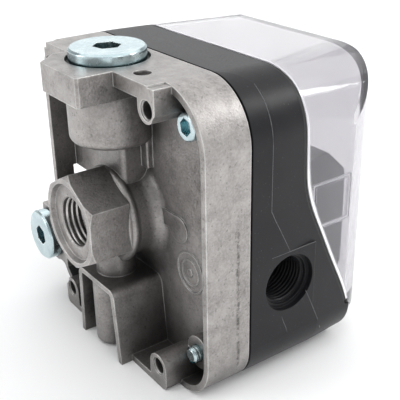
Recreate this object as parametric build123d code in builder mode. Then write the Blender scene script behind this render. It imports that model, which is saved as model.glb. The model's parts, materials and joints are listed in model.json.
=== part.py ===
from build123d import *
import math
import os

os.makedirs("parts", exist_ok=True)

# ---------------------------------------------------------------- driving dimensions (mm)
# Frame: origin on the pressure port's axis where its thread begins, +Y out of the port,
# +Z up, cable entry on the -X side.  Depths D are counted forward from the hexagon's
# face, which stands MOUTH out from the origin, so Y = MOUTH - D.
MOUTH = 1.5
W, H = 72.2, 74.8                 # width along X, height along Z
CX, CZ = -2.2, 1.0                # centre of the housing outline
X_NEAR, X_FAR = CX - W / 2, CX + W / 2
Z_BOT, Z_TOP = CZ - H / 2, CZ + H / 2
R_TOP, R_LOW = 13.7, 11.0         # outline corner radii, upper and lower
T_RIM = 1.6                       # die-cast side wall
D_LAND = 8.2                      # fixing faces
D_RIM = 12.6                      # back edge of the side walls
D_FLOOR = 19.0                    # bottom of the back hollow
D_CHAMBER = 21.9                  # back wall of the pressure chamber
D_METAL = 24.4                    # front face of the die-cast half
D_BLACK = 24.9                    # back face of the plastic half
D_FRONT = 66.5                    # front of the clear cover
D_NOSE = 57.7                     # front of the plastic nose
AX, AZ = 2.0, 6.0                 # diaphragm, spring and dial axis
R_CHAMBER = 18.3
TAPER = 0.07                      # side taper of the plastic half beyond its crease
TOP_DRAFT = 0.026                 # draft of its top face
D_CREASE, Z_BEND, S_BEND = 30.5, 8.5, 0.46
COVER_X, COVER_Z = 0.84, 0.4      # the clear cover stands this far inside the outline
R_PLAN, R_EDGE = 12.7, 1.9        # its upright front edges and its top front edge
HEX_AF = 21.5
PORT_R = 6.15                     # Rp 1/4 and G 1/4 pitch radius
G18_R = 4.57                      # G 1/8 pitch radius
M12_R = 5.675                     # M12x1 pitch radius
ENTRY_D, ENTRY_Z = 36.3, -11.1    # cable entry axis
TOPD = 13.5                       # depth of the top plug axis
SPX, SPZ = 29.6, -17.0            # side plug axis
SCREWS = [(CX - 26.9, CZ + 28.5), (CX + 26.9, CZ - 28.5),
          (CX - 26.9, CZ - 28.5), (CX + 26.9, CZ + 28.5)]
REAR_SCREWS, FRONT_SCREWS = SCREWS[:2], SCREWS[2:]
FIXING = [(CX + sx * 22.0, CZ + 0.2 + sz * 31.9) for sx in (-1, 1) for sz in (-1, 1)]
FIX_R = 1.95
BOSS_D = 9.8                      # spare boss in the channel
CHANNEL_D = 5.0                   # back edge of the channel
ROD_X, ROD_Z = 2.0, -8.0          # push rod, off the spring's axis
PIVOT_X, PIVOT_D = -14.5, 34.4    # lever pivot, along Z
PLUNGER_X, PLUNGER_Z = 8.0, -14.8
SWITCH_SCREWS = [(-11.2, -20.6), (15.4, -13.6)]
EARTH = (-13.0, -28.4)
POST = (22.5, -19.0)              # cover screw
TERMINALS = [-11.5, -3.0, 5.5]    # heights of the three clamps


def at(d):
    """Plane at depth d: sketch x is +X, sketch y is +Z, extrusion goes to the front."""
    return Plane.XZ.offset(d - MOUTH)


def side(x):
    """Plane at x seen along X: sketch x is -D, sketch y is +Z."""
    return Plane(origin=(x, MOUTH, 0), x_dir=(0, 1, 0), z_dir=(1, 0, 0))


def level(z):
    """Plane at height z: sketch x is +X, sketch y is -D."""
    return Plane(origin=(0, MOUTH, z), x_dir=(1, 0, 0), z_dir=(0, 0, 1))


def outline(d, inset=0.0):
    """Housing outline at depth d, set in by inset."""
    with BuildSketch(at(d)) as s:
        with Locations((CX, CZ)):
            Rectangle(W - 2 * inset, H - 2 * inset)
        fillet(s.vertices().sort_by(Axis.Y)[-2:], R_TOP - inset)
        fillet(s.vertices().sort_by(Axis.Y)[:2], R_LOW - inset)
    return s.sketch


def save(part, label):
    part.label = label
    export_step(part, f"parts/{label}.step")


def disc(part_mode, x, z, r, d0, d1):
    with BuildSketch(at(d0)) as s:
        with Locations((x, z)):
            Circle(r)
    extrude(s.sketch, amount=d1 - d0, mode=part_mode)


def block(part_mode, x0, x1, z0, z1, d0, d1):
    with BuildSketch(at(d0)) as s:
        with Locations(((x0 + x1) / 2, (z0 + z1) / 2)):
            Rectangle(x1 - x0, z1 - z0)
    extrude(s.sketch, amount=d1 - d0, mode=part_mode)


# ---------------------------------------------------------------- die-cast lower housing
# hexagon of the pressure port with its corners turned down
with BuildPart() as hexagon:
    with BuildSketch(at(0)):
        RegularPolygon(HEX_AF / math.sqrt(3), 6, rotation=90)
    extrude(amount=10.6)
    with BuildSketch(side(0)) as s:
        with BuildLine():
            Polyline((0, 0), (0, 11.15), (-1.0, 12.6), (-10.8, 12.6), (-10.8, 0), (0, 0))
        make_face()
    revolve(axis=Axis((0, 0, 0), (0, 1, 0)), mode=Mode.INTERSECT)

with BuildPart() as lower_housing:
    extrude(outline(D_RIM), amount=D_METAL - D_RIM)
    extrude(outline(D_RIM, T_RIM), amount=D_FLOOR - D_RIM, mode=Mode.SUBTRACT)
    # top land and its hanging tabs round the upper fixing holes
    block(Mode.ADD, -24.7, 21.0, 35.0, Z_TOP, D_LAND, D_FLOOR + 0.5)
    block(Mode.ADD, -27.2, -24.6, 35.0, Z_TOP - 0.3, D_LAND, D_FLOOR + 0.5)
    block(Mode.ADD, -27.2, -20.8, 33.2, 36.9, D_LAND, D_FLOOR + 0.5)
    disc(Mode.ADD, -24.0, 33.3, 3.2, D_LAND, D_FLOOR + 0.5)
    block(Mode.ADD, 16.2, 22.2, 33.2, 36.9, D_LAND, D_FLOOR + 0.5)
    disc(Mode.ADD, 19.4, 33.3, 3.3, D_LAND, D_FLOOR + 0.5)
    # bottom wall runs at full height between the channel and the lower fixing columns
    block(Mode.ADD, -25.0, -11.0, Z_BOT, Z_BOT + 1.7, D_LAND, D_FLOOR + 0.5)
    block(Mode.ADD, 7.2, 20.0, Z_BOT, Z_BOT + 1.7, D_LAND, D_FLOOR + 0.5)
    for x in (-24.0, 19.6):
        with BuildSketch(at(D_LAND)) as s:
            with Locations((x, -34.2)):
                RectangleRounded(6.8, 13.2, 3.35)
            with Locations((x, Z_BOT - 5)):
                Rectangle(10, 10, mode=Mode.SUBTRACT)
            fillet(s.vertices().filter_by_position(Axis.Y, Z_BOT - 0.1, Z_BOT + 0.1), 1.6)
        extrude(amount=D_FLOOR + 0.5 - D_LAND)
    # square block carrying the top connection, with chamfered back corners
    with BuildSketch(level(31.7)):
        with BuildLine():
            Polyline((-11.3, -19.5), (-11.3, 0.1), (-10.7, 0.74), (5.3, 0.74), (7.7, -2.2),
                     (10.0, -4.6), (10.0, -19.5), (-11.3, -19.5))
        make_face()
    extrude(amount=Z_TOP - 31.7)
    # round boss under it with a rounded lower edge
    with BuildSketch(Plane(origin=(0, MOUTH - TOPD, 0), x_dir=(1, 0, 0), z_dir=(0, -1, 0))) as s:
        with BuildLine():
            Polyline((0, 33.0), (0, 18.9), (8.4, 18.9))
            ThreePointArc((8.4, 18.9), (9.73, 19.45), (10.25, 20.8))
            Polyline((10.25, 20.8), (10.25, 33.0), (0, 33.0))
        make_face()
    revolve(axis=Axis((0, MOUTH - TOPD, 0), (0, 0, 1)))
    # neck between the round boss and the port, on a wider foot
    with BuildSketch(level(6.0)) as s:
        with Locations((0, -15.8)):
            Rectangle(12.0, 7.6)
        fillet(s.vertices().sort_by(Axis.Y)[-2:], 1.4)
    extrude(amount=13.5)
    with BuildSketch(level(12.6)) as s:
        with Locations((0, -18.5)):
            Rectangle(17.2, 2.2)
        fillet(s.vertices().sort_by(Axis.Y)[-2:], 0.5)
    extrude(amount=7.4)
    # pressure port: hexagon, rounded ring, waisted collar and its flared foot
    add(hexagon.part)
    with BuildSketch(Plane(origin=(0, MOUTH, -0.6), x_dir=(0, 1, 0), z_dir=(1, 0, 0))) as s:
        with BuildLine():
            Polyline((-9.8, 0), (-9.8, 10.0), (-10.6, 11.3))
            ThreePointArc((-10.6, 11.3), (-10.95, 12.0), (-11.6, 12.25))
            ThreePointArc((-11.6, 12.25), (-12.3, 12.0), (-12.8, 11.4))
            Polyline((-12.8, 11.4), (-13.4, 11.2), (-15.6, 11.2))
            ThreePointArc((-15.6, 11.2), (-18.0, 12.2), (-19.0, 14.4))
            Polyline((-19.0, 14.4), (-19.5, 14.4), (-19.5, 0), (-9.8, 0))
        make_face()
    revolve(axis=Axis((0, 0, -0.6), (0, 1, 0)))
    # neck below the port, down to the channel's roof
    with BuildSketch(level(-16.8)) as s:
        with Locations((0.4, -12.2)):
            Circle(5.1)
    extrude(amount=8.8)
    # open channel below the port: two drafted walls under a rounded roof
    with BuildSketch(at(CHANNEL_D)) as s:
        with BuildLine():
            Polyline((8.4, Z_BOT), (7.6, -16.5), (-9.9, -16.3), (-12.0, Z_BOT), (8.4, Z_BOT))
        make_face()
        fillet(s.vertices().filter_by_position(Axis.Y, -17, -16), 2.3)
    extrude(amount=D_FLOOR + 0.5 - CHANNEL_D)
    with BuildSketch(at(CHANNEL_D - 1)) as s:
        with BuildLine():
            Polyline((7.0, Z_BOT - 1), (6.2, -17.9), (-8.5, -17.7), (-10.6, Z_BOT - 1), (7.0, Z_BOT - 1))
        make_face()
        fillet(s.vertices().filter_by_position(Axis.Y, -18, -17), 1.1)
    extrude(amount=D_FLOOR - CHANNEL_D + 1, mode=Mode.SUBTRACT)
    # spare blind boss inside the channel
    with BuildSketch(Plane(origin=(-0.3, MOUTH - BOSS_D, 0), x_dir=(1, 0, 0), z_dir=(0, -1, 0))) as s:
        with BuildLine():
            Polyline((0, -17.0), (0, Z_BOT + 0.2), (3.1, Z_BOT + 0.2))
            ThreePointArc((3.1, Z_BOT + 0.2), (4.15, Z_BOT + 0.63), (4.6, Z_BOT + 1.7))
            Polyline((4.6, Z_BOT + 1.7), (4.6, -17.0), (0, -17.0))
        make_face()
    revolve(axis=Axis((-0.3, MOUTH - BOSS_D, 0), (0, 0, 1)))
    block(Mode.ADD, -2.4, 1.8, Z_BOT + 1.0, -17.0, BOSS_D, D_FLOOR + 0.5)
    # block of the side test connection
    with BuildSketch(at(D_LAND)):
        with BuildLine():
            Polyline((21.4, -9.4), (X_FAR, -9.4), (X_FAR, -24.6), (21.4, -24.6), (21.4, -9.4))
        make_face()
    extrude(amount=D_FLOOR + 0.5 - D_LAND)
    # screw bosses in the corners of the hollow
    for x, z in REAR_SCREWS:
        disc(Mode.ADD, x, z, 4.3, 18.0, D_FLOOR + 0.5)
    for x, z in FRONT_SCREWS:
        disc(Mode.ADD, x, z, 4.2, 16.4, D_FLOOR + 0.5)
    # raised blank plate beside the collar and a round blank with two rings
    with BuildSketch(at(D_FLOOR - 0.45)) as s:
        with Locations((-18.8, 0.4)):
            Ellipse(3.8, 3.3)
        with Locations((-14.6, 1.5)):
            Rectangle(8.0, 4.0)
    extrude(amount=0.7)
    with BuildSketch(at(D_FLOOR - 0.3)) as s:
        with Locations((-23.1, -9.4)):
            Circle(5.3)
            Circle(4.9, mode=Mode.SUBTRACT)
            Circle(3.5)
            Circle(3.1, mode=Mode.SUBTRACT)
            Circle(1.0)
    extrude(amount=0.5)

    # pressure chamber
    disc(Mode.SUBTRACT, AX, AZ, R_CHAMBER, D_CHAMBER, D_METAL)
    # port: recess, thread bore, passage into the chamber
    with BuildSketch(side(0)) as s:
        with BuildLine():
            Polyline((0.5, 0), (0.5, 9.95), (0, 9.95), (-1.25, 9.35), (-1.25, 6.6), (-1.5, PORT_R), (-1.5, 0), (0.5, 0))
        make_face()
    revolve(axis=Axis((0, 0, 0), (0, 1, 0)), mode=Mode.SUBTRACT)
    disc(Mode.SUBTRACT, 0, 0, PORT_R, 1.4, 16.0)
    disc(Mode.SUBTRACT, 0, 0, 3.5, 15.9, D_CHAMBER + 0.1)
    # top connection: spot face, thread bore, passage to the port
    for r, z0, z1, d in ((9.8, Z_TOP - 1.2, Z_TOP + 1, TOPD), (PORT_R, 23.0, Z_TOP, TOPD), (2.3, 3.0, 23.1, TOPD + 2.0)):
        with BuildSketch(level(z0)):
            with Locations((0, -d)):
                Circle(r)
        extrude(amount=z1 - z0, mode=Mode.SUBTRACT)
    # side test connection and its drilling to the chamber
    disc(Mode.SUBTRACT, SPX, SPZ, G18_R, D_LAND - 0.1, 18.6)
    disc(Mode.SUBTRACT, SPX, SPZ, 1.0, 18.5, 20.6)
    with BuildSketch(side(6.0)):
        with Locations((-20.45, SPZ)):
            Circle(0.9)
    extrude(amount=SPX - 6.0, mode=Mode.SUBTRACT)
    with BuildSketch(at(20.45)):
        with Locations((6.2, -10.9)):
            Rectangle(1.6, 13.0)
    extrude(amount=D_METAL - 22.0, mode=Mode.SUBTRACT)
    # fixing holes, drain hole in the top land
    for x, z in FIXING:
        disc(Mode.SUBTRACT, x, z, FIX_R, D_LAND - 0.1, D_FLOOR + 1.0)
        disc(Mode.SUBTRACT, x, z, FIX_R + 0.3, D_LAND - 0.1, D_LAND + 0.35)
    with BuildSketch(level(34.5)):
        with Locations((-16.2, -12.6)):
            Circle(2.0)
    extrude(amount=5.0, mode=Mode.SUBTRACT)
    # housing screw holes, with room for the two heads at the back
    for x, z in SCREWS:
        disc(Mode.SUBTRACT, x, z, 2.08, 12.0, D_METAL + 0.1)
    for x, z in REAR_SCREWS:
        disc(Mode.SUBTRACT, x, z, 3.5, 8.0, 18.0)
    # slot through the far wall where the floor turns up
    block(Mode.SUBTRACT, 24.6, 36.0, -9.3, 0.0, 18.0, 23.2)

save(lower_housing.part, "lower_housing")


# ---------------------------------------------------------------- outlines of the front part
def section(d, inset, bend):
    """Outline of the plastic half at depth d, set in by inset."""
    k = TAPER * (d - D_CREASE)
    xn, xf = X_NEAR + k + inset, X_FAR - k - inset
    zb, zt = Z_BOT + inset, Z_TOP - TOP_DRAFT * (d - D_BLACK) - inset
    # the near side leans back out below the bend
    xb = xn - TAPER * bend * (Z_BEND - zb)
    with BuildSketch(at(d)) as s:
        with BuildLine():
            Polyline((xn, Z_BEND), (xn, zt), (xf, zt), (xf, zb), (xb, zb), (xn, Z_BEND))
        make_face()
        fillet(s.vertices().sort_by(Axis.Y)[-2:], R_TOP - 0.053 * (d - D_BLACK) - inset)
        fillet(s.vertices().sort_by(Axis.Y)[:2], R_LOW - inset)
    return s


def front_form(inset, d0, d1, bend=S_BEND):
    """Tapering block of the plastic half from depth d0 to d1."""
    a = section(d0, inset, bend)
    b = section(d1, inset, bend)
    return loft([a.sketch.face(), b.sketch.face()], ruled=True, mode=Mode.PRIVATE)


def cover_section(d, inset):
    """Outline of the clear cover at depth d, set in by inset."""
    with BuildSketch(at(d)) as s:
        with BuildLine():
            xn, xf = X_NEAR + COVER_X + inset, X_FAR - COVER_X - inset
            zb, zt = Z_BOT + inset, Z_TOP - COVER_Z - inset
            Polyline((xn, zb), (xn, zt), (xf, zt), (xf, zb), (xn, zb))
        make_face()
        fillet(s.vertices().sort_by(Axis.Y)[-2:], 12.9 + 0.2325 * (d - 40.0) - inset)
        fillet(s.vertices().sort_by(Axis.Y)[:2], R_LOW - inset)
    return s.sketch


def cover_form(inset):
    """Block of the clear cover set in by inset: upright edges rounded in plan, small top edge."""
    with BuildPart() as form:
        loft([cover_section(34.0, inset).face(), cover_section(D_FRONT + 1.0, inset).face()], ruled=True)
        with BuildSketch(level(-50.0)) as s:
            with BuildLine():
                x0, x1 = X_NEAR + COVER_X + inset - 0.003, X_FAR - COVER_X - inset + 0.003
                Polyline((x0, -20), (x0, inset - D_FRONT), (x1, inset - D_FRONT), (x1, -20), (x0, -20))
            make_face()
            fillet(s.vertices().sort_by(Axis.Y)[:2], R_PLAN - inset)
        extrude(amount=100, mode=Mode.INTERSECT)
        with BuildSketch(side(-60.0)) as s:
            with BuildLine():
                zt, df = Z_TOP - COVER_Z - inset + 0.003, D_FRONT - inset + 0.003
                Polyline((-20, -50), (-20, zt), (-df, zt), (-df, -50), (-20, -50))
            make_face()
            fillet(s.vertices().sort_by(Axis.Y)[-2:].sort_by(Axis.X)[:1], max(R_EDGE - inset, 0.5))
        extrude(amount=120, mode=Mode.INTERSECT)
    return form.part


# parting line between plastic housing and clear cover, seen from the side (y, z)
S_CURVE = [(-39.1, 41.0), (-39.55, 38.0), (-40.15, 35.8), (-40.45, 32.5), (-40.55, 29.0), (-40.75, 25.5),
           (-41.0, 21.5), (-41.2, 16.5), (-41.6, 12.3), (-42.6, 8.2), (-44.35, 3.6), (-47.2, -2.6),
           (-50.05, -8.9), (-52.65, -14.35), (-55.25, -19.9), (-56.9, -24.0)]


def behind(shift):
    """Everything behind the parting line moved by shift along Y, as a block across X."""
    pts = [(y + shift, z) for y, z in S_CURVE]
    with BuildSketch(side(-50)) as s:
        with BuildLine():
            Spline(pts)
            Polyline(pts[-1], (pts[-1][0] - 0.3, -25.2), (-D_NOSE + shift * 0, -25.2), (-D_NOSE, -50), (0, -50),
                     (0, pts[0][1]), pts[0])
        make_face()
    return extrude(s.sketch, amount=100, mode=Mode.PRIVATE)


# ---------------------------------------------------------------- plastic upper housing
# wiring space inside it
with BuildPart() as wiring_room:
    extrude(outline(30.0, 2.5), amount=D_FRONT - 30.0)
    add(front_form(2.5, 29.0, D_FRONT + 1.0), mode=Mode.INTERSECT)
    block(Mode.SUBTRACT, -45, 45, -45, -27.8, D_NOSE - 2.6, 70.0)

# upright front edges of the nose, rounded in plan
with BuildPart() as nose_plan:
    with BuildSketch(level(-50.0)) as s:
        with BuildLine():
            x0, x1 = X_NEAR - 0.003, X_FAR + 0.003
            Polyline((x0, -20), (x0, 0.9 - D_FRONT), (x1, 0.9 - D_FRONT), (x1, -20), (x0, -20))
        make_face()
        fillet(s.vertices().sort_by(Axis.Y)[:2], R_PLAN - 1.0)
    extrude(amount=100)

with BuildPart() as upper_housing:
    extrude(outline(D_BLACK), amount=D_NOSE - D_BLACK)
    add(front_form(0, D_BLACK - 1.0, D_FRONT), mode=Mode.INTERSECT)
    add(nose_plan.part, mode=Mode.INTERSECT)
    # flat pad round the cable entry
    block(Mode.ADD, X_NEAR, X_NEAR + 6, -19.5, -2.8, D_CREASE, 44.2)
    add(behind(1.0), mode=Mode.INTERSECT)
    # wiring space
    add(wiring_room.part, mode=Mode.SUBTRACT)
    # inner block of the cable entry
    block(Mode.ADD, X_NEAR + 3.0, X_NEAR + 12.4, ENTRY_Z - 8.0, ENTRY_Z + 8.0, 29.5, 43.6)
    # bosses for the housing screws
    for x, z in REAR_SCREWS:
        disc(Mode.ADD, x, z, 4.4, 29.5, 36.0)
    for x, z in FRONT_SCREWS:
        disc(Mode.ADD, x, z, 4.4, 29.5, 32.4)
    # spring tower with a bearing plate for the dial
    disc(Mode.ADD, AX, AZ, 11.4, 29.5, 47.6)
    # pivot lugs for the switching lever
    for z0 in (-20.6, -7.6):
        block(Mode.ADD, -17.0, -12.0, z0, z0 + 1.6, 29.5, 35.9)
    # post for the cover screw
    disc(Mode.ADD, *POST, 3.6, 29.5, 57.6)
    # seats for the switch and the terminal block
    block(Mode.ADD, -13.0, -9.6, -22.0, -19.4, 29.5, 37.6)
    block(Mode.ADD, 13.8, 17.2, -21.6, -11.8, 29.5, 37.6)
    # rib that carries the index mark
    block(Mode.ADD, AX - 1.0, AX + 1.0, 22.9, 27.4, 29.5, 50.4)
    # back recess for the diaphragm plate, bore for the spring, rod guide
    disc(Mode.SUBTRACT, AX, AZ, R_CHAMBER - 0.8, D_BLACK - 0.1, 28.2)
    disc(Mode.SUBTRACT, AX, AZ, 9.6, 28.1, 45.6)
    block(Mode.SUBTRACT, AX - 10.6, AX + 10.6, AZ - 1.1, AZ + 1.1, 38.0, 45.6)
    disc(Mode.SUBTRACT, AX, AZ, 3.1, 45.5, 48.0)
    disc(Mode.SUBTRACT, ROD_X, ROD_Z, 1.26, 28.0, 31.0)
    for x, z in SWITCH_SCREWS:
        disc(Mode.SUBTRACT, x, z, 1.1, 31.0, 38.0)
    disc(Mode.SUBTRACT, *EARTH, 1.52, 25.5, 31.0)
    # housing screw holes
    for x, z in REAR_SCREWS:
        disc(Mode.SUBTRACT, x, z, 2.02, D_BLACK - 0.1, 34.4)
    for x, z in FRONT_SCREWS:
        disc(Mode.SUBTRACT, x, z, 2.08, D_BLACK - 0.1, 33.0)
        disc(Mode.SUBTRACT, x, z, 3.6, 32.4, 37.0)
    disc(Mode.SUBTRACT, *POST, 1.52, 46.0, 58.0)
    with BuildSketch(level(-21.0)):
        with Locations((-14.5, -34.4)):
            Circle(1.02)
    extrude(amount=16.0, mode=Mode.SUBTRACT)
    # cable entry: counterbore, step, thread bore
    for r, x0, x1 in ((7.2, -1.0, 1.5), (6.3, 1.4, 2.4), (M12_R, 2.3, 13.0)):
        with BuildSketch(side(X_NEAR + x0)):
            with Locations((-ENTRY_D, ENTRY_Z)):
                Circle(r)
        extrude(amount=x1 - x0, mode=Mode.SUBTRACT)

save(upper_housing.part, "upper_housing")

# ---------------------------------------------------------------- cover gasket
# straight run on the ledge of the nose
with BuildPart() as ledge_strip:
    add(front_form(0.3, 34.0, D_FRONT))
    block(Mode.INTERSECT, -50, 50, -25.15, -24.2, D_NOSE - 0.95, D_NOSE - 0.1)

with BuildPart() as cover_gasket:
    add(front_form(0.3, 34.0, D_FRONT))
    add(front_form(2.3, 33.0, D_FRONT + 0.5), mode=Mode.SUBTRACT)
    add(behind(0.1), mode=Mode.INTERSECT)
    add(behind(0.95), mode=Mode.SUBTRACT)
    block(Mode.SUBTRACT, -50, 50, -60, -24.3, 0, 80)
    add(ledge_strip.part)
    block(Mode.ADD, -33.0, 26.4, -25.15, -24.3, D_NOSE - 2.3, D_NOSE - 0.2)

save(cover_gasket.part, "cover_gasket")

# ---------------------------------------------------------------- clear cover
cover_outside = cover_form(0.0)
cover_inside = cover_form(2.0)
frame_root = cover_form(1.7)
frame_crest = cover_form(2.5)
dome_limit = cover_form(0.8)

# room inside it
with BuildPart() as cover_room:
    add(cover_inside)
    block(Mode.SUBTRACT, -50, 50, -60, -24.0, 0, 80)

# rectangular stiffening frame on the inside of its near wall
with BuildPart() as stiffening_frame:
    block(Mode.ADD, -40, -28, -1.4, 10.4, 44.8, 57.1)
    block(Mode.SUBTRACT, -41, -27, -0.6, 9.6, 45.7, 56.2)
    add(frame_root, mode=Mode.INTERSECT)
    add(frame_crest, mode=Mode.SUBTRACT)
    add(behind(-0.2), mode=Mode.SUBTRACT)

# dome round the cover screw
with BuildPart() as screw_dome:
    disc(Mode.ADD, *POST, 4.6, 58.6, D_FRONT)
    add(dome_limit, mode=Mode.INTERSECT)

with BuildPart() as clear_cover:
    add(cover_outside)
    add(behind(0.0), mode=Mode.SUBTRACT)
    block(Mode.SUBTRACT, -50, 50, -60, -27.4, 0, 80)
    block(Mode.SUBTRACT, -50, 50, -60, -24.2, 0, D_NOSE + 0.2)
    add(cover_room.part, mode=Mode.SUBTRACT)
    add(screw_dome.part)
    disc(Mode.SUBTRACT, *POST, 3.4, 60.6, D_FRONT + 1)
    disc(Mode.SUBTRACT, *POST, 1.7, 58.0, 61.0)
    add(stiffening_frame.part)

save(clear_cover.part, "clear_cover")

# ---------------------------------------------------------------- cover screw
with BuildPart() as cover_screw:
    disc(Mode.ADD, *POST, 1.5, 48.5, 61.2)
    disc(Mode.ADD, *POST, 3.0, 61.0, 63.4)
    disc(Mode.ADD, *POST, 2.2, 57.8, 58.4)
    with BuildSketch(at(62.2)) as s:
        with Locations(POST):
            Rectangle(3.6, 0.8)
            Rectangle(0.8, 3.6)
    extrude(s.sketch, amount=2.0, mode=Mode.SUBTRACT)
save(cover_screw.part, "cover_screw")

# ---------------------------------------------------------------- working diaphragm
with BuildPart() as working_diaphragm:
    with BuildSketch(at(D_METAL)) as s:
        with Locations((CX, CZ)):
            Rectangle(W - 3.6, H - 3.6)
        fillet(s.vertices().sort_by(Axis.Y)[-2:], R_TOP - 1.8)
        fillet(s.vertices().sort_by(Axis.Y)[:2], R_LOW - 1.8)
        with Locations(*SCREWS):
            Circle(2.4, mode=Mode.SUBTRACT)
    extrude(amount=D_BLACK - D_METAL)
    # rolled convolution between plate and clamped edge
    disc(Mode.ADD, AX, AZ, 17.3, D_BLACK - 0.1, 26.1)
    disc(Mode.SUBTRACT, AX, AZ, 15.9, D_BLACK, 26.5)
    with BuildSketch(at(D_METAL)) as s:
        with Locations((AX, AZ)):
            Circle(16.9)
            Circle(16.3, mode=Mode.SUBTRACT)
    extrude(s.sketch, amount=1.3, mode=Mode.SUBTRACT)
save(working_diaphragm.part, "working_diaphragm")

with BuildPart() as diaphragm_plate:
    disc(Mode.ADD, AX, AZ, 15.6, 25.0, 26.4)
    disc(Mode.ADD, AX, AZ, 6.1, 26.3, 31.0)
    disc(Mode.SUBTRACT, AX, AZ, 4.6, 27.6, 31.5)
    disc(Mode.SUBTRACT, ROD_X, ROD_Z, 0.9, 24.9, 26.6)
save(diaphragm_plate.part, "diaphragm_plate")

with BuildPart() as push_rod:
    disc(Mode.ADD, ROD_X, ROD_Z, 0.88, 25.0, 26.5)
    disc(Mode.ADD, ROD_X, ROD_Z, 1.2, 26.42, 33.0)
    with BuildSketch(at(33.0)) as s:
        with Locations((ROD_X, ROD_Z)):
            Circle(1.2)
    with BuildSketch(at(33.3)) as s2:
        with Locations((ROD_X, ROD_Z)):
            Circle(0.8)
    loft([s.sketch.face(), s2.sketch.face()])
save(push_rod.part, "push_rod")

# ---------------------------------------------------------------- setpoint spring, seat, spindle, dial
with BuildPart() as setpoint_spring:
    wire_r, coil_r, s0, s1 = 0.6, 7.2, 27.05, 38.35
    with BuildLine() as coil:
        Helix(pitch=2.26, height=s1 - s0, radius=coil_r, center=(AX, MOUTH - s0, AZ), direction=(0, -1, 0))
    start = coil.line @ 0
    with BuildSketch(Plane(origin=start, z_dir=coil.line % 0)) as s:
        Circle(wire_r)
    sweep(s.sketch, path=coil.line)
save(setpoint_spring.part, "setpoint_spring")

with BuildPart() as spring_seat:
    disc(Mode.ADD, AX, AZ, 9.3, 40.1, 43.1)
    block(Mode.ADD, AX - 10.3, AX + 10.3, AZ - 0.95, AZ + 0.95, 40.1, 43.1)
    disc(Mode.ADD, AX, AZ, 4.6, 38.9, 40.3)
    disc(Mode.SUBTRACT, AX, AZ, 2.95, 38.0, 44.0)
save(spring_seat.part, "spring_seat")

with BuildPart() as adjusting_spindle:
    disc(Mode.ADD, AX, AZ, 2.88, 39.2, 47.9)
    disc(Mode.ADD, AX, AZ, 4.0, 47.7, 48.7)
    with BuildSketch(at(48.6)) as s:
        with Locations((AX, AZ)):
            RegularPolygon(2.9, 6)
    extrude(s.sketch, amount=4.2)
save(adjusting_spindle.part, "adjusting_spindle")

DIAL_R = 15.6
with BuildPart() as adjusting_dial:
    disc(Mode.ADD, AX, AZ, DIAL_R, 48.75, 52.8)
    # raised grip cross-bar and knurled rim
    disc(Mode.SUBTRACT, AX, AZ, 9.2, 51.6, 53.0)
    disc(Mode.ADD, AX, AZ, 4.6, 51.0, 54.6)
    block(Mode.ADD, AX - 8.6, AX + 8.6, AZ - 1.5, AZ + 1.5, 51.0, 54.6)
    with BuildSketch(at(48.7)) as s:
        with Locations((AX, AZ)):
            with PolarLocations(DIAL_R + 0.25, 36):
                Circle(0.6)
    extrude(s.sketch, amount=4.3, mode=Mode.SUBTRACT)
    with BuildSketch(at(48.5)) as s:
        with Locations((AX, AZ)):
            RegularPolygon(2.92, 6)
    extrude(s.sketch, amount=4.35, mode=Mode.SUBTRACT)
    # screwdriver slot
    block(Mode.SUBTRACT, AX - 3.4, AX + 3.4, AZ - 0.5, AZ + 0.5, 53.4, 55.0)
save(adjusting_dial.part, "adjusting_dial")

with BuildPart() as index_mark:
    with BuildSketch(at(50.4)) as s:
        with BuildLine():
            Polyline((AX, 22.3), (AX + 2.6, 27.6), (AX - 2.6, 27.6), (AX, 22.3))
        make_face()
    extrude(s.sketch, amount=0.9)
save(index_mark.part, "index_mark")

# ---------------------------------------------------------------- switching lever and its pin
with BuildPart() as switching_lever:
    block(Mode.ADD, -10.9, 12.0, -18.6, -6.3, 33.4, 34.6)
    block(Mode.ADD, -14.5, -10.8, -18.6, -7.95, 33.4, 34.6)
    for z0 in (-18.6, -10.35):
        with BuildSketch(level(z0)) as s:
            with Locations((PIVOT_X, -PIVOT_D)):
                Circle(2.0)
        extrude(s.sketch, amount=2.4)
    with BuildSketch(level(-19)) as s:
        with Locations((PIVOT_X, -PIVOT_D)):
            Circle(1.06)
    extrude(s.sketch, amount=12.0, mode=Mode.SUBTRACT)
    # stiffening bead and the clearance behind the pin
    block(Mode.SUBTRACT, -17.0, -13.0, -16.2, -10.35, 33.0, 35.0)
save(switching_lever.part, "switching_lever")

with BuildPart() as lever_pin:
    with BuildSketch(level(-20.9)) as s:
        with Locations((PIVOT_X, -PIVOT_D)):
            Circle(1.0)
    extrude(s.sketch, amount=15.2)
save(lever_pin.part, "lever_pin")

# ---------------------------------------------------------------- microswitch
with BuildPart() as microswitch_body:
    block(Mode.ADD, -12.8, 17.0, -22.0, -11.7, 37.7, 50.8)
    block(Mode.ADD, -6.5, 13.3, -21.2, -12.4, 50.7, 52.0)
    disc(Mode.SUBTRACT, PLUNGER_X, PLUNGER_Z, 1.27, 37.5, 44.0)
    for x, z in SWITCH_SCREWS:
        disc(Mode.SUBTRACT, x, z, 1.15, 37.0, 53.0)
save(microswitch_body.part, "microswitch_body")

with BuildPart() as microswitch_plunger:
    disc(Mode.ADD, PLUNGER_X, PLUNGER_Z, 1.2, 35.0, 41.5)
    with BuildSketch(at(34.75)) as s:
        with Locations((PLUNGER_X, PLUNGER_Z)):
            Circle(0.8)
    with BuildSketch(at(35.0)) as s2:
        with Locations((PLUNGER_X, PLUNGER_Z)):
            Circle(1.2)
    loft([s.sketch.face(), s2.sketch.face()])
save(microswitch_plunger.part, "microswitch_plunger")

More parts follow.
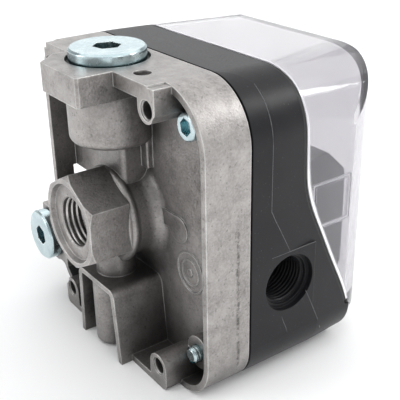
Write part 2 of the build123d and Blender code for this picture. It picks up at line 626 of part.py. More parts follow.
with BuildPart() as switch_screws:
    for x, z in SWITCH_SCREWS:
        disc(Mode.ADD, x, z, 1.08, 31.5, 51.0)
        disc(Mode.ADD, x, z, 1.75, 50.85, 52.2)
        block(Mode.SUBTRACT, x - 1.4, x + 1.4, z - 0.25, z + 0.25, 51.6, 52.6)
save(switch_screws.part, "switch_screws")

# ---------------------------------------------------------------- terminal block, clamps, screws, links
with BuildPart() as terminal_block:
    with BuildSketch(side(-36.0)) as s:
        with BuildLine():
            Polyline((-43.7, -17.6), (-43.7, 15.4), (-52.6, 15.4), (-59.4, 9.4), (-60.2, 7.6),
                     (-60.8, -16.0), (-59.6, -17.6), (-43.7, -17.6))
        make_face()
    extrude(s.sketch, amount=19.4)
    with BuildSketch(level(-50.0)) as s:
        with BuildLine():
            Polyline((-33.3, -43.0), (-30.4, -61.0), (0, -61.0), (0, -43.0), (-33.3, -43.0))
        make_face()
    extrude(s.sketch, amount=100, mode=Mode.INTERSECT)
    for z in TERMINALS:
        block(Mode.SUBTRACT, -27.6, -16.0, z - 3.2, z + 3.2, 52.6, 62.0)
        block(Mode.SUBTRACT, -24.9, -21.7, z - 1.6, z + 1.6, 47.0, 52.8)
save(terminal_block.part, "terminal_block")

with BuildPart() as terminal_clamps:
    for z in TERMINALS:
        block(Mode.ADD, -27.0, -20.0, z - 2.8, z + 2.8, 52.7, 57.6)
        disc(Mode.SUBTRACT, -23.3, z, 1.3, 52.0, 58.0)
        block(Mode.SUBTRACT, -27.5, -24.9, z - 1.5, z + 1.5, 53.6, 56.4)
save(terminal_clamps.part, "terminal_clamps")

with BuildPart() as terminal_screws:
    for z in TERMINALS:
        disc(Mode.ADD, -23.3, z, 1.25, 48.0, 57.8)
        disc(Mode.ADD, -23.3, z, 2.3, 57.65, 59.4)
        block(Mode.SUBTRACT, -25.2, -21.4, z - 0.35, z + 0.35, 58.6, 60.0)
save(terminal_screws.part, "terminal_screws")

with BuildPart() as terminal_links:
    for x, z, d in ((-5.0, TERMINALS[0], 53.0), (3.0, TERMINALS[1], 54.4), (11.0, TERMINALS[2], 55.8)):
        block(Mode.ADD, x - 1.2, x + 1.2, -18.2, -16.0, 52.05, d + 0.6)
        block(Mode.ADD, -16.2, x + 1.2, -18.2, -16.0, d, d + 0.6)
        block(Mode.ADD, -16.2, -14.4, -18.2, z + 1.0, d, d + 0.6)
        block(Mode.ADD, -19.9, -14.4, z - 1.0, z + 1.0, d, d + 0.6)
save(terminal_links.part, "terminal_links")

# ---------------------------------------------------------------- earth terminal
with BuildPart() as earth_plate:
    block(Mode.ADD, EARTH[0] - 4.6, EARTH[0] + 4.6, EARTH[1] - 3.4, EARTH[1] + 3.4, 30.05, 31.0)
    block(Mode.ADD, EARTH[0] + 3.7, EARTH[0] + 4.6, EARTH[1] - 3.4, EARTH[1] + 3.4, 30.9, 34.0)
    disc(Mode.SUBTRACT, *EARTH, 1.6, 29.5, 32.0)
save(earth_plate.part, "earth_plate")

with BuildPart() as earth_screw:
    disc(Mode.ADD, *EARTH, 1.5, 26.0, 31.4)
    disc(Mode.ADD, *EARTH, 3.1, 31.05, 33.6)
    with BuildSketch(at(32.4)) as s:
        with Locations(EARTH):
            Rectangle(4.0, 0.8)
            Rectangle(0.8, 4.0)
    extrude(s.sketch, amount=2.0, mode=Mode.SUBTRACT)
save(earth_screw.part, "earth_screw")

# ---------------------------------------------------------------- plugs with their seals
with BuildPart() as top_plug:
    for r, z0, z1 in ((9.0, Z_TOP - 0.4, Z_TOP + 2.6), (PORT_R - 0.02, Z_TOP - 12.4, Z_TOP - 0.3)):
        with BuildSketch(level(z0)) as s:
            with Locations((0, -TOPD)):
                Circle(r)
        extrude(s.sketch, amount=z1 - z0)
    chamfer(top_plug.faces().sort_by(Axis.Z)[-1].edges(), 0.5)
    with BuildSketch(level(Z_TOP - 3.4)) as s:
        with Locations((0, -TOPD)):
            RegularPolygon(6.0 / math.sqrt(3), 6, rotation=12)
    extrude(s.sketch, amount=8.0, mode=Mode.SUBTRACT)
save(top_plug.part, "top_plug")

with BuildPart() as top_plug_seal:
    with BuildSketch(level(Z_TOP - 1.2)) as s:
        with Locations((0, -TOPD)):
            Circle(8.8)
            Circle(6.4, mode=Mode.SUBTRACT)
    extrude(s.sketch, amount=0.8)
save(top_plug_seal.part, "top_plug_seal")

with BuildPart() as side_plug:
    disc(Mode.ADD, SPX, SPZ, 7.0, 4.8, 7.7)
    disc(Mode.ADD, SPX, SPZ, G18_R - 0.02, 7.6, 15.8)
    chamfer(side_plug.faces().sort_by(Axis.Y)[-1].edges(), 0.45)
    with BuildSketch(at(4.5)) as s:
        with Locations((SPX, SPZ)):
            RegularPolygon(5.0 / math.sqrt(3), 6, rotation=20)
    extrude(s.sketch, amount=4.6, mode=Mode.SUBTRACT)
save(side_plug.part, "side_plug")

with BuildPart() as side_plug_seal:
    with BuildSketch(at(7.7)) as s:
        with Locations((SPX, SPZ)):
            Circle(6.8)
            Circle(4.9, mode=Mode.SUBTRACT)
    extrude(s.sketch, amount=0.5)
save(side_plug_seal.part, "side_plug_seal")

# ---------------------------------------------------------------- housing screws
with BuildPart() as rear_housing_screws:
    for x, z in REAR_SCREWS:
        disc(Mode.ADD, x, z, 3.2, 14.3, 17.98)
        disc(Mode.ADD, x, z, 2.0, 17.9, 34.0)
    chamfer(rear_housing_screws.faces().sort_by(Axis.Y)[-2:].edges(), 0.35)
    for x, z in REAR_SCREWS:
        with BuildSketch(at(14.0)) as s:
            with Locations((x, z)):
                RegularPolygon(2.0, 6, rotation=15)
        extrude(s.sketch, amount=2.3, mode=Mode.SUBTRACT)
save(rear_housing_screws.part, "rear_housing_screws")

with BuildPart() as front_housing_screws:
    for x, z in FRONT_SCREWS:
        disc(Mode.ADD, x, z, 3.2, 32.42, 35.8)
        disc(Mode.ADD, x, z, 2.0, 14.2, 32.5)
    chamfer(front_housing_screws.faces().sort_by(Axis.Y)[-2:].edges(), 0.5)
    for x, z in FRONT_SCREWS:
        with BuildSketch(at(34.2)) as s:
            with Locations((x, z)):
                RegularPolygon(2.0, 6)
        extrude(s.sketch, amount=2.3, mode=Mode.SUBTRACT)
save(front_housing_screws.part, "front_housing_screws")
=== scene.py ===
import json
import math

import bmesh
import bpy
from mathutils import Matrix, Vector


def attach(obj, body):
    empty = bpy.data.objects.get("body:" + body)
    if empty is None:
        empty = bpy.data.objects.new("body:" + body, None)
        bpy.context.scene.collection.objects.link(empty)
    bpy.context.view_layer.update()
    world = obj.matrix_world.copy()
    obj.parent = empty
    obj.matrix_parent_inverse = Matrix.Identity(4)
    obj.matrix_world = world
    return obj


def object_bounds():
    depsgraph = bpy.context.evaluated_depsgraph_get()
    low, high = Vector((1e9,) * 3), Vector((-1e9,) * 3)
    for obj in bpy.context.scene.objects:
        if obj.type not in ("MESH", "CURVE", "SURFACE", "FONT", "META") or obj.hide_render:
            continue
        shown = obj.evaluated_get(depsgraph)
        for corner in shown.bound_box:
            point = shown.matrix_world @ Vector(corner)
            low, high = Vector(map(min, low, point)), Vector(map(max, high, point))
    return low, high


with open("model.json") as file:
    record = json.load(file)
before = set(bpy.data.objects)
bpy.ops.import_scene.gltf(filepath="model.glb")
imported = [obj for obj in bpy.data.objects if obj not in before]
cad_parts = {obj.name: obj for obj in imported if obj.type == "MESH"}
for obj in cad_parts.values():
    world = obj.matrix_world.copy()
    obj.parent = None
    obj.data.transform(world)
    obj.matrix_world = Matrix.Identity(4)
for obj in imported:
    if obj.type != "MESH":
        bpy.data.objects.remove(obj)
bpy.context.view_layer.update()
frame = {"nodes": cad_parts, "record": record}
nodes = frame["nodes"]
MM = 0.001
MOUTH = 1.5                     # the hexagon's face is this far out from the origin


def P(x, d, z):
    """Point from x, depth behind the hexagon's face, z, all in millimetres."""
    return Vector((x * MM, (MOUTH - d) * MM, z * MM))


# ------------------------------------------------------------------ materials
class Mat:
    def __init__(self, name):
        self.m = bpy.data.materials.new(name)
        self.m.use_nodes = True
        self.t = self.m.node_tree
        self.t.nodes.clear()
        self.out = self.add("ShaderNodeOutputMaterial")
        self.b = self.add("ShaderNodeBsdfPrincipled")
        self.t.links.new(self.b.outputs[0], self.out.inputs["Surface"])
        tc = self.add("ShaderNodeTexCoord")
        self.pos = tc.outputs["Object"]
        self.geo = self.add("ShaderNodeNewGeometry")

    def add(self, kind, **attrs):
        n = self.t.nodes.new(kind)
        for k, v in attrs.items():
            setattr(n, k, v)
        return n

    def link(self, a, b):
        self.t.links.new(a, b)

    def put(self, node, key, value):
        if hasattr(value, "is_output") or isinstance(value, bpy.types.NodeSocket):
            self.link(value, node.inputs[key])
        else:
            node.inputs[key].default_value = value

    def noise(self, scale, detail=3.0, rough=0.55, stretch=None, dist=0.0):
        src = self.pos
        if stretch:
            mp = self.add("ShaderNodeMapping")
            mp.inputs["Scale"].default_value = stretch
            self.link(self.pos, mp.inputs["Vector"])
            src = mp.outputs[0]
        n = self.add("ShaderNodeTexNoise")
        self.link(src, n.inputs["Vector"])
        n.inputs["Scale"].default_value = scale
        n.inputs["Detail"].default_value = detail
        n.inputs["Roughness"].default_value = rough
        n.inputs["Distortion"].default_value = dist
        return n.outputs["Fac"]

    def ramp(self, fac, stops):
        r = self.add("ShaderNodeValToRGB")
        els = r.color_ramp.elements
        while len(els) < len(stops):
            els.new(0.5)
        for e, (p, c) in zip(els, stops):
            e.position = p
            e.color = (*c, 1.0) if len(c) == 3 else c
        self.link(fac, r.inputs["Fac"])
        return r.outputs["Color"]

    def remap(self, v, a, b, c, d):
        n = self.add("ShaderNodeMapRange")
        self.link(v, n.inputs["Value"])
        for k, x in (("From Min", a), ("From Max", b), ("To Min", c), ("To Max", d)):
            n.inputs[k].default_value = x
        return n.outputs["Result"]

    def math(self, op, a, b=None):
        n = self.add("ShaderNodeMath", operation=op)
        self.put(n, 0, a)
        if b is not None:
            self.put(n, 1, b)
        return n.outputs[0]

    def mix(self, fac, a, b, mode="MIX"):
        n = self.add("ShaderNodeMix", data_type="RGBA", blend_type=mode)
        self.put(n, 0, fac)
        for i, v in ((6, a), (7, b)):
            if isinstance(v, (tuple, list)):
                n.inputs[i].default_value = (*v, 1.0) if len(v) == 3 else v
            else:
                self.link(v, n.inputs[i])
        return n.outputs[2]

    def open_sky(self, distance, lo=0.35, hi=0.95):
        """0 deep in recesses, 1 on open faces."""
        n = self.add("ShaderNodeAmbientOcclusion", samples=8)
        n.inputs["Distance"].default_value = distance
        return self.remap(n.outputs["AO"], lo, hi, 0.0, 1.0)

    def axis(self, i):
        sep = self.add("ShaderNodeSeparateXYZ")
        self.link(self.pos, sep.inputs[0])
        return sep.outputs[i]

    def between(self, v, a, b, soft=0.00008):
        """1 where a < v < b."""
        up = self.add("ShaderNodeMapRange")
        self.link(v, up.inputs["Value"])
        up.inputs["From Min"].default_value, up.inputs["From Max"].default_value = a - soft, a + soft
        dn = self.add("ShaderNodeMapRange")
        self.link(v, dn.inputs["Value"])
        dn.inputs["From Min"].default_value, dn.inputs["From Max"].default_value = b - soft, b + soft
        dn.inputs["To Min"].default_value, dn.inputs["To Max"].default_value = 1.0, 0.0
        return self.math("MULTIPLY", up.outputs[0], dn.outputs[0])

    def edges(self, radius, gain=6.0):
        """1 on convex and concave edges, 0 on flats."""
        bv = self.add("ShaderNodeBevel", samples=6)
        bv.inputs["Radius"].default_value = radius
        d = self.add("ShaderNodeVectorMath", operation="DOT_PRODUCT")
        self.link(bv.outputs[0], d.inputs[0])
        self.link(self.geo.outputs["Normal"], d.inputs[1])
        inv = self.math("SUBTRACT", 1.0, d.outputs["Value"])
        s = self.add("ShaderNodeMath", operation="MULTIPLY", use_clamp=True)
        self.link(inv, s.inputs[0])
        s.inputs[1].default_value = gain
        return s.outputs[0]

    def bump(self, height, strength, distance, bevel=0.0):
        n = self.add("ShaderNodeBump")
        n.inputs["Strength"].default_value = strength
        n.inputs["Distance"].default_value = distance
        self.link(height, n.inputs["Height"])
        if bevel:
            bv = self.add("ShaderNodeBevel", samples=6)
            bv.inputs["Radius"].default_value = bevel
            self.link(bv.outputs[0], n.inputs["Normal"])
        self.link(n.outputs[0], self.b.inputs["Normal"])
        return n

    def set(self, **kw):
        names = {"color": "Base Color", "metal": "Metallic", "rough": "Roughness", "ior": "IOR",
                 "trans": "Transmission Weight", "alpha": "Alpha", "coat": "Coat Weight",
                 "coat_rough": "Coat Roughness", "spec": "Specular IOR Level", "sss": "Subsurface Weight"}
        for k, v in kw.items():
            s = self.b.inputs[names[k]]
            if isinstance(v, bpy.types.NodeSocket):
                self.link(v, s)
            elif isinstance(v, (tuple, list)):
                s.default_value = (*v, 1.0)
            else:
                s.default_value = v
        return self


def die_cast():
    m = Mat("die_cast")
    grain = m.noise(1900, 4, 0.65)
    blotch = m.noise(210, 3, 0.6)
    cloud = m.noise(42, 2, 0.5)
    base = m.ramp(blotch, [(0.28, (0.195, 0.184, 0.177)), (0.48, (0.285, 0.270, 0.261)), (0.74, (0.41, 0.389, 0.377))])
    base = m.mix(m.remap(cloud, 0.35, 0.7, 0.0, 0.4), base, (0.38, 0.360, 0.348))
    base = m.mix(m.remap(grain, 0.42, 0.66, 0.0, 0.38), base, (0.54, 0.52, 0.505))
    pits = m.remap(m.noise(1300, 2, 0.5), 0.62, 0.71, 0.0, 0.55)
    base = m.mix(pits, base, (0.13, 0.125, 0.118))
    # drag marks of the die along the outer walls
    drag = m.noise(300, 4, 0.7, stretch=(1.0, 1.0, 0.12))
    # rough witness line of the die near the joint face on the cable side
    y, z = m.axis(1), m.axis(2)
    wob = m.math("MULTIPLY", m.math("SUBTRACT", m.noise(160, 3, 0.6), 0.5), 0.0012)
    line = m.between(m.math("ADD", y, wob), -0.0200, -0.0192, 0.00025)
    line = m.math("MULTIPLY", line, m.between(z, -0.030, 0.009, 0.004))
    line = m.math("MULTIPLY", line, m.between(m.axis(0), -0.0390, -0.0378, 0.0001))
    line = m.math("MULTIPLY", line, m.remap(m.noise(900, 3, 0.7), 0.42, 0.56, 0.0, 1.0))
    base = m.mix(m.remap(drag, 0.52, 0.70, 0.0, 0.28), base, (0.22, 0.214, 0.205))
    base = m.mix(m.math("MULTIPLY", line, 0.75), base, (0.07, 0.065, 0.06))
    # edges lightened in the base colour: part edge wear, part painted highlight
    edge = m.math("MULTIPLY", m.edges(0.00045, 5.0), m.remap(blotch, 0.35, 0.6, 0.45, 0.95))
    base = m.mix(edge, base, (0.84, 0.83, 0.81))
    # painted shade: the colour is darkened in recesses and hollows, where shade falls
    painted_shade_mask = m.open_sky(0.016, 0.25, 1.0)
    base = m.mix(painted_shade_mask, m.mix(0.70, base, (0.03, 0.028, 0.027)), base)
    rough = m.remap(grain, 0.3, 0.7, 0.30, 0.50)
    m.set(color=base, metal=0.80, rough=rough)
    h = m.math("ADD", m.math("MULTIPLY", grain, 0.8), m.math("MULTIPLY", blotch, 1.0))
    h = m.math("SUBTRACT", h, m.math("MULTIPLY", line, 0.8))
    m.bump(h, 0.55, 0.00024, bevel=0.00045)
    return m.m


def black_plastic(name="black_plastic", col=(0.008, 0.008, 0.0095), hi=(0.012, 0.012, 0.0135)):
    m = Mat(name)
    fine = m.noise(4200, 2, 0.5)
    wide = m.noise(120, 3, 0.6)
    c = m.mix(m.remap(wide, 0.3, 0.7, 0.0, 1.0), col, hi)
    dust = m.remap(m.noise(2600, 1, 0.5), 0.72, 0.78, 0.0, 0.22)
    c = m.mix(dust, c, (0.20, 0.20, 0.20))
    m.set(color=c, rough=m.remap(fine, 0.3, 0.7, 0.33, 0.46), spec=0.24)
    m.bump(fine, 0.22, 0.00006, bevel=0.0003)
    return m.m


SEAM = [(-27.4, 58.6), (-24.0, 56.9), (-19.9, 55.25), (-14.35, 52.65), (-8.9, 50.05), (-2.6, 47.2), (3.6, 44.35),
        (8.2, 42.6), (12.3, 41.6), (16.5, 41.2), (21.5, 41.0), (25.5, 40.75), (29.0, 40.55), (32.5, 40.45),
        (35.8, 40.15), (38.0, 39.55)]


def clear_plastic():
    m = Mat("clear_plastic")
    m.t.nodes.remove(m.b)
    x, y, z = m.axis(0), m.axis(1), m.axis(2)
    depth = m.math("MULTIPLY", m.math("SUBTRACT", MOUTH * MM, y), 1000.0)
    # how far in front of the seam with the housing
    h = m.remap(z, -0.028, 0.039, 0.0, 1.0)
    f = m.ramp(h, [((zz + 28.0) / 67.0, ((dd - 38.0) / 22.0,) * 3) for zz, dd in SEAM])
    seam = m.math("ADD", m.math("MULTIPLY", f, 22.0), 38.0)
    ahead = m.math("SUBTRACT", depth, seam)
    # painted highlight: a white band along the seam with the housing, stronger towards the bottom, stands in for light
    # refracted along the cover's thick edge
    rim = m.between(ahead, -1.0, 0.75, 0.35)
    rim = m.math("MULTIPLY", rim, m.remap(z, 0.030, 0.012, 0.45, 1.0))
    # painted highlight: white lines along the edges of the moulded frame on the inside of the near wall, standing in
    # for light caught in those edges
    ring = m.math("MULTIPLY", m.between(z, -0.00138, 0.01038), m.between(depth, 44.82, 57.08, 0.05))
    hole = m.math("MULTIPLY", m.between(z, -0.00070, 0.00970), m.between(depth, 45.5, 56.4, 0.05))
    ring = m.math("MULTIPLY", m.math("SUBTRACT", ring, hole), m.between(x, -0.0362, -0.0310))
    white = m.math("MAXIMUM", rim, ring)
    wave = m.noise(60, 2, 0.5)
    g = m.add("ShaderNodeBsdfPrincipled")
    m.b = g
    g.inputs["Base Color"].default_value = (0.765, 0.755, 0.772, 1)
    g.inputs["Transmission Weight"].default_value = 1.0
    g.inputs["Roughness"].default_value = 0.10
    g.inputs["IOR"].default_value = 1.22
    g.inputs["Coat Weight"].default_value = 0.5
    g.inputs["Coat Roughness"].default_value = 0.06
    m.bump(wave, 0.05, 0.0004, bevel=0.0)
    d = m.add("ShaderNodeBsdfPrincipled")
    m.link(m.mix(white, (0.68, 0.67, 0.71), (0.98, 0.97, 1.0)), d.inputs["Base Color"])
    d.inputs["Roughness"].default_value = 0.25
    mx = m.add("ShaderNodeMixShader")
    veil = m.remap(wave, 0.3, 0.7, 0.06, 0.09)
    m.link(m.math("MAXIMUM", veil, m.math("MULTIPLY", white, 0.90)), mx.inputs[0])
    m.link(g.outputs[0], mx.inputs[1])
    m.link(d.outputs[0], mx.inputs[2])
    m.link(mx.outputs[0], m.out.inputs["Surface"])
    # slight smoke of the material, seen where light runs along the wall
    vol = m.add("ShaderNodeVolumeAbsorption")
    vol.inputs["Color"].default_value = (0.70, 0.69, 0.72, 1)
    vol.inputs["Density"].default_value = 62.0
    m.link(vol.outputs[0], m.out.inputs["Volume"])
    return m.m


def zinc(name="zinc_plated", a=(0.40, 0.51, 0.54), b=(0.54, 0.64, 0.66)):
    m = Mat(name)
    n = m.noise(260, 3, 0.6)
    c = m.mix(m.remap(n, 0.3, 0.7, 0, 1), a, b)
    # painted highlight: edges lightened in the base colour
    edge = m.edges(0.0003, 5.0)
    c = m.mix(m.math("MULTIPLY", edge, 0.6), c, (0.90, 0.94, 0.94))
    # painted shade and painted reflection: deep recesses such as the hexagon sockets get a darker teal colour
    c = m.mix(m.open_sky(0.0028, 0.15, 0.7), (0.16, 0.46, 0.52), c)
    m.set(color=c, metal=1.0, rough=m.remap(m.noise(900, 2, 0.5), 0.3, 0.7, 0.16, 0.28))
    m.bump(n, 0.12, 0.00012, bevel=0.0003)
    return m.m


def metal(name, a, b, rough=(0.25, 0.4), stretch=None, bevel=0.0002):
    m = Mat(name)
    n = m.noise(500, 3, 0.6, stretch=stretch)
    m.set(color=m.mix(m.remap(n, 0.3, 0.7, 0, 1), a, b), metal=1.0, rough=m.remap(n, 0.3, 0.7, *rough))
    m.bump(n, 0.08, 0.0001, bevel=bevel)
    return m.m


def plastic(name, a, b, rough=(0.3, 0.42), bevel=0.00025, spec=0.5):
    m = Mat(name)
    n = m.noise(700, 2, 0.5)
    m.set(color=m.mix(m.remap(n, 0.3, 0.7, 0, 1), a, b), rough=m.remap(n, 0.3, 0.7, *rough), spec=spec)
    m.bump(n, 0.08, 0.00008, bevel=bevel)
    return m.m


mats = {
    "die_cast": die_cast(),
    "black_plastic": black_plastic(),
    "clear_plastic": clear_plastic(),
    "black_rubber": plastic("black_rubber", (0.012, 0.012, 0.012), (0.02, 0.02, 0.02), (0.5, 0.7)),
    "seal_fibre": plastic("seal_fibre", (0.02, 0.02, 0.02), (0.035, 0.035, 0.035), (0.6, 0.8)),
    "plated_steel": metal("plated_steel", (0.60, 0.61, 0.62), (0.72, 0.73, 0.74)),
    "zinc_plated": zinc(),
    "spring_steel": metal("spring_steel", (0.42, 0.42, 0.43), (0.55, 0.55, 0.56)),
    "sheet_steel": metal("sheet_steel", (0.55, 0.55, 0.55), (0.68, 0.68, 0.68), stretch=(1, 8, 1)),
    "aluminium_sheet": metal("aluminium_sheet", (0.70, 0.70, 0.71), (0.80, 0.80, 0.81)),
    "brass": metal("brass", (0.72, 0.55, 0.26), (0.84, 0.70, 0.40)),
    "white_plastic": plastic("white_plastic", (0.78, 0.78, 0.76), (0.84, 0.84, 0.82)),
    "red_plastic": plastic("red_plastic", (0.58, 0.03, 0.02), (0.68, 0.05, 0.03)),
    "grey_plastic": plastic("grey_plastic", (0.085, 0.085, 0.095), (0.11, 0.11, 0.12), (0.4, 0.55)),
    "switch_plastic": plastic("switch_plastic", (0.03, 0.03, 0.035), (0.045, 0.045, 0.05), (0.35, 0.5)),
}
machined = metal("machined_thread", (0.36, 0.35, 0.34), (0.60, 0.585, 0.57), (0.24, 0.38))
for sp in frame["record"]["subparts"]:
    o = nodes[sp["node"]]
    o.data.materials.clear()
    o.data.materials.append(mats[sp["material_slot"]])


def finish_piece(o, body, slot, mat=None):
    o.data.materials.clear()
    o.data.materials.append(mat or mats[slot])
    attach(o, body)
    return o


def mesh_piece(name, verts, faces, body, slot, mat=None, smooth=True):
    me = bpy.data.meshes.new(name)
    me.from_pydata([tuple(v) for v in verts], [], faces)
    me.validate()
    bm = bmesh.new()
    bm.from_mesh(me)
    bmesh.ops.recalc_face_normals(bm, faces=bm.faces)
    bm.to_mesh(me)
    bm.free()
    if smooth:
        for p in me.polygons:
            p.use_smooth = True
    o = bpy.data.objects.new(name, me)
    bpy.context.scene.collection.objects.link(o)
    return finish_piece(o, body, slot, mat)


def helix_ridge(name, centre, axis, r_wall, r_crest, pitch, length, body, slot, width=0.62, steps=64, start=0.0, mat=None):
    """Thread ridge on a wall of radius r_wall whose crest is at r_crest, running length along axis from centre."""
    axis = Vector(axis).normalized()
    u = axis.orthogonal().normalized()
    v = axis.cross(u)
    turns = length / pitch
    n = int(turns * steps)
    half = pitch * width / 2
    flat = pitch * 0.07
    verts, faces = [], []
    for i in range(n + 1):
        a = 2 * math.pi * i / steps + start
        along = pitch * i / steps
        fade = min(1.0, i / (steps * 0.35), (n - i) / (steps * 0.35))
        rc = r_wall + (r_crest - r_wall) * fade
        out = u * math.cos(a) + v * math.sin(a)
        over = 0.05 if r_wall > r_crest else -0.05
        for r, s in ((r_wall + over, -half), (rc, -flat), (rc, flat), (r_wall + over, half)):
            verts.append(Vector(centre) + (axis * (along + s) + out * r) * MM)
    for i in range(n):
        for k in range(3):
            a0 = i * 4 + k
            faces.append((a0, a0 + 1, a0 + 5, a0 + 4))
    faces.append((0, 1, 2, 3))
    faces.append((n * 4 + 3, n * 4 + 2, n * 4 + 1, n * 4))
    return mesh_piece(name, verts, faces, body, slot, mat)


# ------------------------------------------------------------------ threads
helix_ridge("port_thread", P(0, 2.2, 0), (0, -1, 0), 6.15, 5.72, 1.337, 12.8, "housing", "die_cast", mat=machined)
helix_ridge("entry_thread", P(-36.0, 36.3, -11.1), (1, 0, 0), 5.675, 5.46, 1.0, 9.2, "housing", "black_plastic")
CX, CZ, AX, AZ = -2.2, 1.0, 2.0, 6.0
for k, (sx, sz) in enumerate(((-26.9, -28.5), (26.9, 28.5))):
    helix_ridge("tip_thread_%d" % (k + 1), P(CX + sx, 14.45, CZ + sz), (0, -1, 0), 1.93, 2.14, 0.7, 1.9,
                "housing", "zinc_plated", steps=40)


# ------------------------------------------------------------------ moulding witness lines of the plastic half, their lighter colour a painted highlight
def witness(name, pts, half=0.13, rise=0.06):
    """Fine ridge over the outer surface through pts, each (x, d, z, outward normal x, z)."""
    verts, faces = [], []
    n = len(pts)
    for i, (x, d, z, nx, nz) in enumerate(pts):
        here = Vector((x, -d, z))
        a = Vector((pts[max(i - 1, 0)][0], -pts[max(i - 1, 0)][1], pts[max(i - 1, 0)][2]))
        b = Vector((pts[min(i + 1, n - 1)][0], -pts[min(i + 1, n - 1)][1], pts[min(i + 1, n - 1)][2]))
        out = Vector((nx, 0.0, nz)).normalized()
        across = out.cross((b - a).normalized()).normalized()
        for w, h in ((-half, -0.05), (0.0, rise), (half, -0.05)):
            q = here + across * w + out * h
            verts.append(Vector((q.x * MM, (MOUTH + q.y) * MM, q.z * MM)))
    for i in range(n - 1):
        for k in range(2):
            a0 = i * 3 + k
            faces.append((a0, a0 + 1, a0 + 4, a0 + 3))
        faces.append((i * 3 + 2, i * 3, i * 3 + 3, i * 3 + 5))
    faces.append((0, 1, 2))
    faces.append((n * 3 - 1, n * 3 - 2, n * 3 - 3))
    return mesh_piece(name, verts, faces, "housing", "black_plastic", painted_highlight_mat)


# painted highlight: the ridges are real, but they are coloured lighter than the black plastic so they read as lit
# lines along the creases and the pad's edges
painted_highlight_mat = plastic("painted_highlight_line", (0.075, 0.075, 0.08), (0.13, 0.13, 0.135), (0.3, 0.45), bevel=0.0)


def side_x(d, z):
    """x of the plastic half's near face."""
    k = 0.07 * (d - 30.5)
    x = -38.3 + k
    if z < 8.5:
        x -= 0.07 * 0.46 * (8.5 - z)
    return max(x, -38.3)


upper = []
for z in (36.35, 35.9, 35.23, 34.4, 33.69, 32.9, 32.21, 31.3, 30.5, 29.6, 28.89, 27.8, 26.86):
    xc, zc, r = -24.9, 24.84, 13.42
    nz = (z - zc) / r
    nx = -math.sqrt(max(0.0, 1.0 - nz * nz))
    upper.append((xc + nx * r, 30.2, z, nx, nz))
side_line = [(side_x(30.3, z), 30.3, z, -1.0, 0.0) for z in (24.5, 21.0, 17.0, 13.0, 9.0)]
side_line += [(side_x(d, z), d, z, -1.0, 0.0) for d, z in ((31.6, 6.2), (33.2, 3.2), (36.1, -2.6))]
witness("witness_upper", upper + side_line)
low = [(-38.27, 34.2, -19.6, -1, 0), (-38.3, 34.9, -21.6, -1, 0), (-38.3, 35.7, -23.5, -1, 0), (-38.22, 36.4, -25.6, -1, 0),
       (-37.95, 37.4, -27.6, -0.97, -0.22), (-37.5, 38.3, -29.4, -0.93, -0.36)]
witness("witness_lower", low)
# painted highlight: light ridges along the top edge and front corner of the cable-entry pad, where those edges catch
# the light
witness("pad_edge", [(-38.3, 30.7, -2.8, -1, 0.4), (-38.3, 36.0, -2.8, -1, 0.4), (-38.3, 44.1, -2.82, -1, 0.4)], 0.11, 0.05)
witness("pad_corner", [(-38.3, 44.16, -2.9, -1, 0), (-38.3, 44.16, -4.4, -1, 0), (-38.3, 44.16, -6.2, -1, 0)], 0.06, 0.03)
fore = [(side_x(d, z), d, z, -1.0, 0.0) for d, z in ((41.6, -15.2), (43.07, -18.33), (44.6, -21.8), (46.0, -25.0))]
fore += [(-37.84, 47.5, -28.56, -0.96, -0.29)]
witness("witness_fore", fore)

# ------------------------------------------------------------------ cast wall round the side connection
verts, faces = [], []
ring_pts = []
for i in range(25):
    a = math.radians(-43.0 + i * 86.0 / 24)
    ring_pts.append((29.6 + 5.5 * math.cos(a), -17.0 + 5.5 * math.sin(a)))
for d, cut in ((8.25, 0.0), (18.0, 0.0), (19.0, 1.2)):
    for x, z in ring_pts:
        verts.append(P(max(x - cut, 33.6), d, z))
    verts.append(P(33.6, d, ring_pts[-1][1]))
    verts.append(P(33.6, d, ring_pts[0][1]))
m_ring = len(ring_pts) + 2
for lvl in range(2):
    for i in range(m_ring):
        j = (i + 1) % m_ring
        faces.append((lvl * m_ring + i, lvl * m_ring + j, (lvl + 1) * m_ring + j, (lvl + 1) * m_ring + i))
faces.append(tuple(range(m_ring)))
faces.append(tuple(range(2 * m_ring, 3 * m_ring))[::-1])
mesh_piece("side_boss_wall", verts, faces, "housing", "die_cast", smooth=False)

# ------------------------------------------------------------------ printed scale of the setpoint dial
ink = plastic("scale_ink", (0.02, 0.02, 0.022), (0.03, 0.03, 0.034), (0.35, 0.5), bevel=0.0)


def on_dial(r, ang, d=52.77):
    a = math.radians(ang)
    return P(AX + r * math.sin(a), d, AZ + r * math.cos(a))


verts, faces = [], []
for i in range(51):
    ang = 30.0 + i * 6.0
    r0, w = (11.9, 0.16) if i % 5 == 0 else (13.2, 0.09)
    a = math.radians(ang)
    t = Vector((math.cos(a), 0.0, -math.sin(a))) * (w * MM)
    base = len(verts)
    for d in (52.82, 52.765):
        for r, sgn in ((r0, -1), (14.6, -1), (14.6, 1), (r0, 1)):
            verts.append(on_dial(r, ang, d) + t * sgn)
    faces += [(base + 4, base + 5, base + 6, base + 7), (base + 3, base + 2, base + 1, base)]
    for k in range(4):
        faces.append((base + k, base + (k + 1) % 4, base + 4 + (k + 1) % 4, base + 4 + k))
mesh_piece("dial_marks", verts, faces, "dial", "switch_plastic", ink, smooth=False)

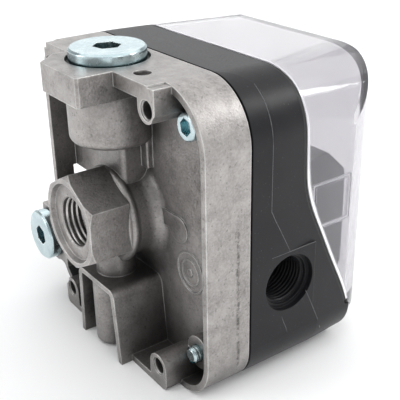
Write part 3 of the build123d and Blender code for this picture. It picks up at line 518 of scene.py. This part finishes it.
digits = []
for i in range(0, 51, 10):
    cu = bpy.data.curves.new("digit_%d" % i, "FONT")
    cu.body = str(i // 10 * 10 + 10)
    cu.size = 2.1 * MM
    cu.extrude = 0.012 * MM
    cu.align_x, cu.align_y = "CENTER", "CENTER"
    o = bpy.data.objects.new("digit_%d" % i, cu)
    scene_col = bpy.context.scene.collection
    scene_col.objects.link(o)
    ang = math.radians(30.0 + i * 6.0)
    # upright letters: right along the rim, up away from the centre, facing -Y
    outv = Vector((math.sin(ang), 0.0, math.cos(ang)))
    rightv = outv.cross(Vector((0.0, -1.0, 0.0)))
    facing = Vector((0.0, -1.0, 0.0))
    rot = Matrix((-rightv if rightv.cross(outv).dot(facing) < 0 else rightv, outv, facing)).transposed().to_4x4()
    o.matrix_world = Matrix.Translation(on_dial(10.55, 30.0 + i * 6.0, 52.79)) @ rot
    bpy.context.view_layer.update()
    dg = bpy.context.evaluated_depsgraph_get()
    me = bpy.data.meshes.new_from_object(o.evaluated_get(dg))
    me.transform(o.matrix_world)
    digits.append(me)
    bpy.data.objects.remove(o)
    bpy.data.curves.remove(cu)
bm = bmesh.new()
for me in digits:
    bm.from_mesh(me)
    bpy.data.meshes.remove(me)
me = bpy.data.meshes.new("dial_numbers")
bm.to_mesh(me)
bm.free()
o = bpy.data.objects.new("dial_numbers", me)
bpy.context.scene.collection.objects.link(o)
finish_piece(o, "dial", "switch_plastic", ink)

# ------------------------------------------------------------------ floor, light, camera
z0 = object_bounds()[0].z
floor_me = bpy.data.meshes.new("floor")
s = 3.0
floor_me.from_pydata([(-s, -s, z0), (s, -s, z0), (s, s, z0), (-s, s, z0)], [], [(0, 1, 2, 3)])
floor = bpy.data.objects.new("floor", floor_me)
bpy.context.scene.collection.objects.link(floor)
fm = Mat("floor_pale")
fm.set(color=fm.mix(fm.remap(fm.noise(6, 2, 0.5), 0.3, 0.7, 0, 1), (0.94, 0.94, 0.94), (0.96, 0.96, 0.96)), rough=0.85)
floor.data.materials.append(fm.m)

scene = bpy.context.scene
world = bpy.data.worlds.new("studio")
scene.world = world
world.use_nodes = True
bg = world.node_tree.nodes["Background"]
# studio cove: bright near the horizon, dimmer overhead
wt = world.node_tree
w_tc = wt.nodes.new("ShaderNodeTexCoord")
w_sep = wt.nodes.new("ShaderNodeSeparateXYZ")
wt.links.new(w_tc.outputs["Generated"], w_sep.inputs[0])
w_ramp = wt.nodes.new("ShaderNodeValToRGB")
els = w_ramp.color_ramp.elements
els[0].position, els[0].color = 0.06, (0.86, 0.87, 0.88, 1)
els[1].position, els[1].color = 0.50, (0.40, 0.406, 0.414, 1)
wt.links.new(w_sep.outputs[2], w_ramp.inputs["Fac"])
wt.links.new(w_ramp.outputs["Color"], bg.inputs["Color"])
bg.inputs["Strength"].default_value = 1.0


def area(name, loc, target, size, power, color=(1, 1, 1)):
    d = bpy.data.lights.new(name, "AREA")
    d.shape = "RECTANGLE"
    d.size, d.size_y = size
    d.energy = power
    d.color = color
    o = bpy.data.objects.new(name, d)
    o.location = Vector(loc)
    o.rotation_mode = "QUATERNION"
    o.rotation_quaternion = (Vector(target) - Vector(loc)).to_track_quat("-Z", "Y")
    scene.collection.objects.link(o)
    return o


c = Vector((0, -0.03, 0))
area("key", (-0.75, -0.05, 0.35), c, (0.5, 0.5), 1.3)
area("top", (0.05, -0.10, 0.80), c, (1.7, 1.7), 9.8)
area("fill", (0.35, 0.75, 0.25), c, (0.4, 0.4), 2.4)
area("rear", (0.90, -0.65, 0.52), c, (1.0, 0.6), 1.5)
area("corner", (-0.45, -0.74, 0.64), c, (0.30, 0.30), 3.4)

az, el, roll = math.radians(234.698), math.radians(25.439), math.radians(-1.036)
back = Vector((math.sin(az) * math.cos(el), -math.cos(az) * math.cos(el), math.sin(el)))
right = Vector((0, 0, 1)).cross(back).normalized()
up = back.cross(right)
r2 = math.cos(roll) * right + math.sin(roll) * up
u2 = -math.sin(roll) * right + math.cos(roll) * up
cam_data = bpy.data.cameras.new("camera")
cam_data.sensor_width = 36.0
cam_data.lens = 788.46 * 36.0 / 400.0
cam_data.clip_start = 0.01
cam = bpy.data.objects.new("camera", cam_data)
scene.collection.objects.link(cam)
cam.rotation_mode = "QUATERNION"
cam.rotation_quaternion = Matrix((r2, u2, back)).transposed().to_quaternion()
cam.location = Vector((-154.7, 71.2 + MOUTH, 85.3)) * MM
scene.camera = cam
scene.view_settings.view_transform = "Standard"
